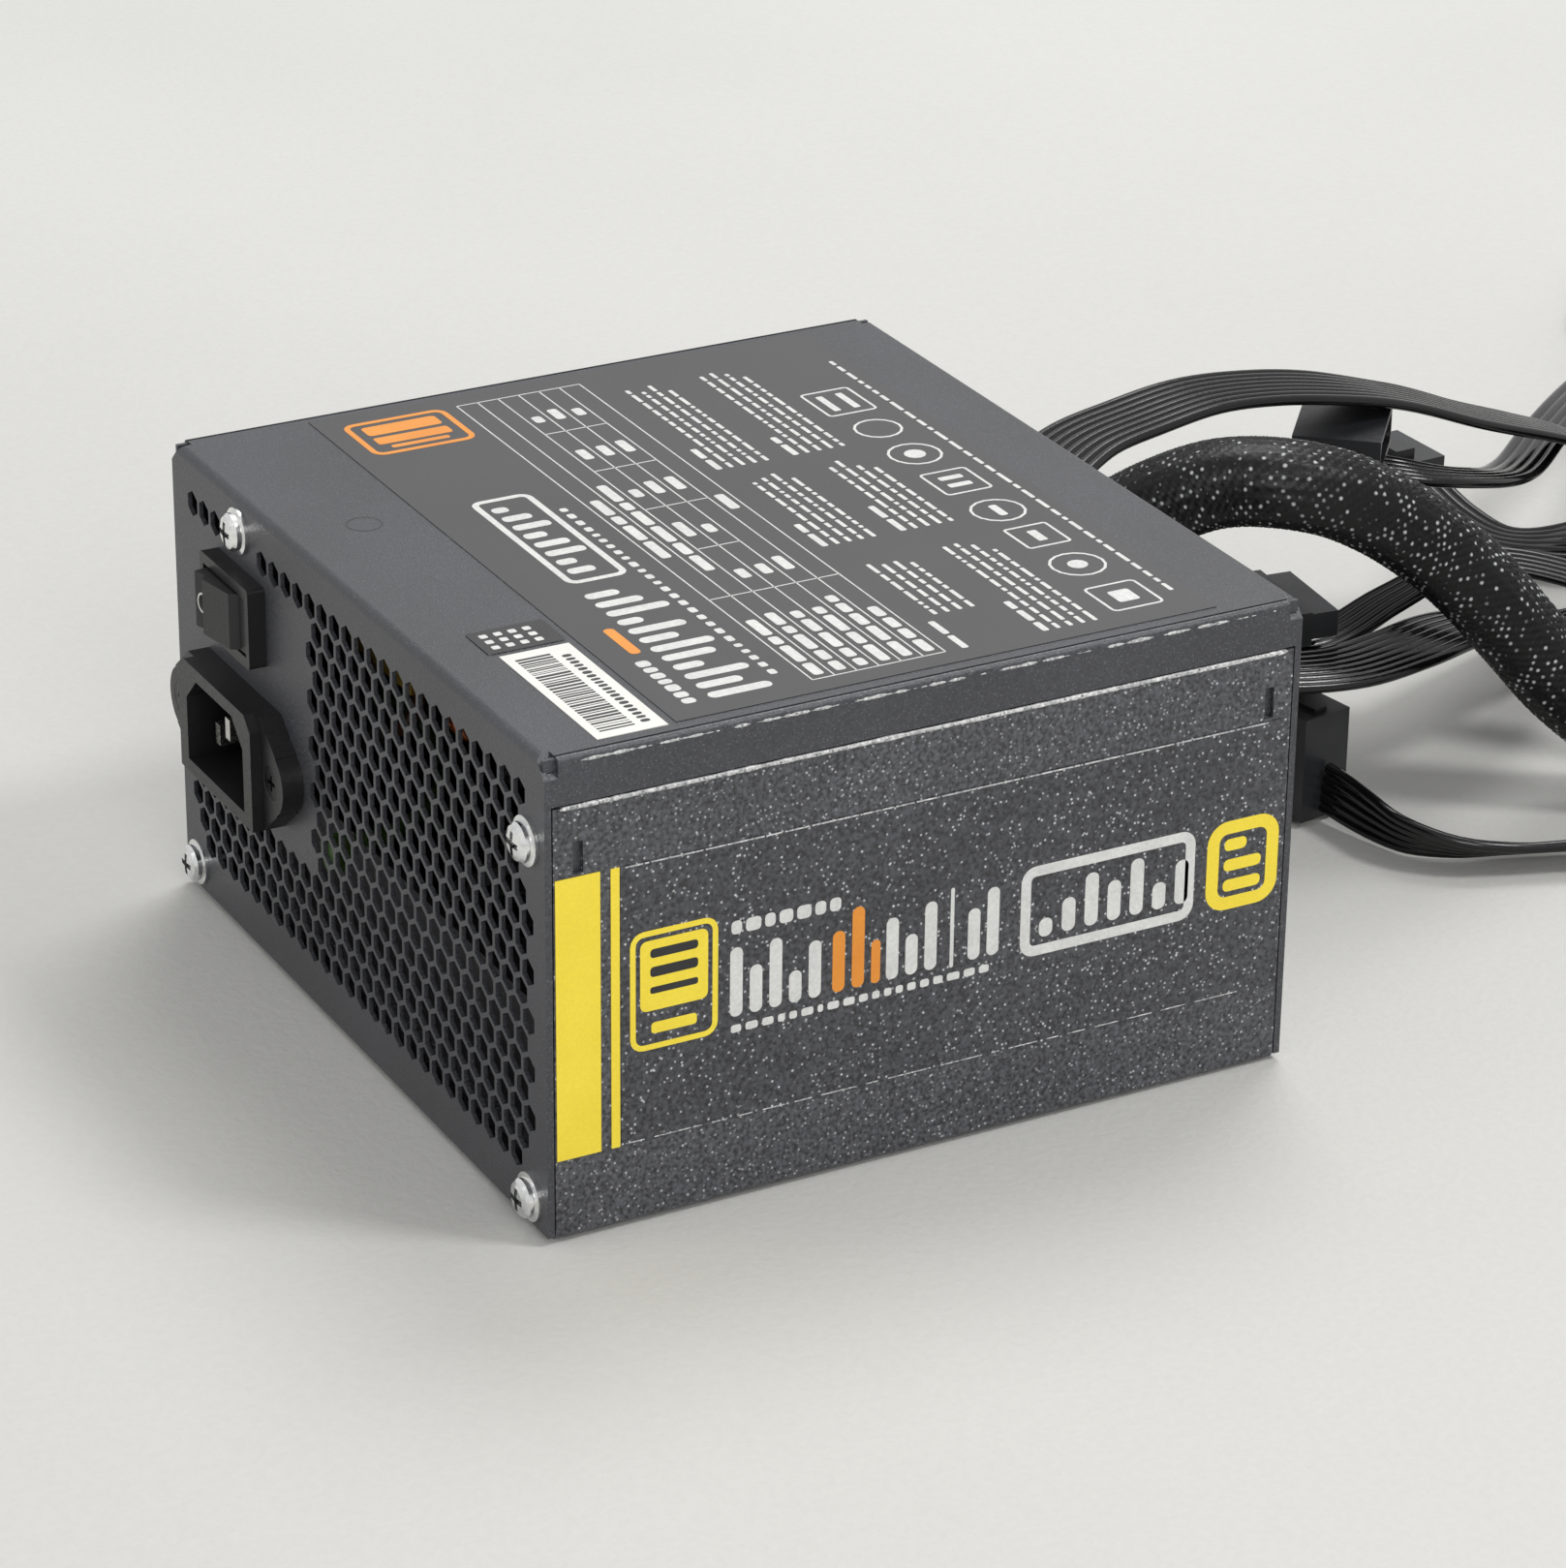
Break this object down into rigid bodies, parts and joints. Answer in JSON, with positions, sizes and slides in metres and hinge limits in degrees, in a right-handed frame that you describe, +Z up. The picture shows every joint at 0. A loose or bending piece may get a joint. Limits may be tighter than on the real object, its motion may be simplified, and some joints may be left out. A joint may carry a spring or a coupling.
{
  "type": "computer power supply unit",
  "caption": "Boxed computer power supply with vented inlet panel, rocker switch, mains inlet, underside fan, a sleeved main cable and flat ribbon output cables with plugs.",
  "frame": {"origin": "centre of the case's footprint, on the plane the case stands on (its fan side)", "axes": "+X to the right when facing the inlet panel, +Y from the inlet panel to the cable panel, +Z up from the fan side to the label side"},
  "size_m": [0.339, 0.497, 0.0861],
  "materials": {
    "chassis_paint": "fine-textured dark grey powder coat",
    "cover_paint": "fine-textured dark grey powder coat with light specks",
    "zinc_steel": "bright zinc",
    "black_steel": "black oxide",
    "label_film": "printed matt film",
    "white_paper": "matt sticker",
    "side_film": "satin film",
    "yellow_film": "satin yellow film",
    "black_nylon": "satin moulded",
    "tin_plate": "tin plated",
    "brown_wire": "wire insulation",
    "green_wire": "wire insulation",
    "board_green": "solder mask",
    "brass": "turned",
    "clear_sheet": "milky polyester",
    "sink_metal": "stamped",
    "black_epoxy": "moulded epoxy",
    "capacitor_sleeve": "shrink sleeve",
    "copper_winding": "enamelled winding",
    "film_box": "potted box",
    "fuse_glass": "capped glass tube",
    "relay_blue": "moulded",
    "ferrite": "dark ferrite with tape",
    "fan_plastic": "moulded fan plastic",
    "guard_wire": "plated wire",
    "plug_white": "moulded nylon",
    "black_rubber": "soft",
    "inner_wire": "wire insulation",
    "black_sleeve": "braided sleeve",
    "black_wire": "flexible wire insulation",
    "plug_black": "moulded nylon"
  },
  "bodies": {
    "case": {"chassis": "chassis_paint", "cover": "cover_paint", "cover_screws": "black_steel", "mounting_screws": "zinc_steel", "rating_label": "label_film", "barcode_sticker": "white_paper", "side_film": "side_film", "side_stripes": "yellow_film", "inlet_body": "black_nylon", "inlet_pins": "tin_plate", "inlet_screws": "black_steel", "switch_housing": "black_nylon", "switch_terminals": "tin_plate", "ac_wires": "brown_wire", "earth_wire": "green_wire", "main_board": "board_green", "board_standoffs": "brass", "board_screws": "zinc_steel", "insulation_sheet": "clear_sheet", "primary_heatsink": "sink_metal", "secondary_heatsink": "sink_metal", "power_transistors": "black_epoxy", "bridge_rectifier": "black_epoxy", "bulk_capacitor": "capacitor_sleeve", "pfc_choke": "copper_winding", "line_chokes": "copper_winding", "film_capacitors": "film_box", "line_fuse": "fuse_glass", "inrush_relay": "relay_blue", "main_transformer": "ferrite", "standby_transformer": "ferrite", "output_capacitors": "capacitor_sleeve", "output_chokes": "copper_winding", "converter_boards": "board_green", "control_board": "board_green", "fan_frame": "fan_plastic", "fan_bearing": "brass", "fan_guard": "guard_wire", "fan_screws": "zinc_steel", "fan_lead": "black_wire", "fan_plug": "plug_white", "cable_grommet": "black_rubber", "output_wires": "inner_wire", "main_cable": "black_sleeve", "main_plug": "plug_black", "cpu_cable": "black_wire", "cpu_coil": "black_wire", "cpu_plugs": "plug_black", "pcie_cable": "black_wire", "pcie_coil": "black_wire", "pcie_plug": "plug_black", "sata_cable": "black_wire", "sata_coil": "black_wire", "sata_plugs": "plug_black", "drive_cable": "black_wire", "drive_coil": "black_wire", "drive_plugs": "plug_black"},
    "fan": {"fan_rotor": "fan_plastic", "fan_shaft": "zinc_steel"},
    "rocker": {"switch_rocker": "black_nylon"}
  },
  "joints": [
    {"name": "fan_spin", "type": "hinge", "parent": "case", "child": "fan", "pos_m": [0, 0, 0.015], "axis": [0, 0, 1], "continuous": true},
    {"name": "switch_rock", "type": "hinge", "parent": "case", "child": "rocker", "pos_m": [-0.045, -0.0698, 0.0657], "axis": [0, 0, 1], "range_deg": [-20, 0]}
  ]
}
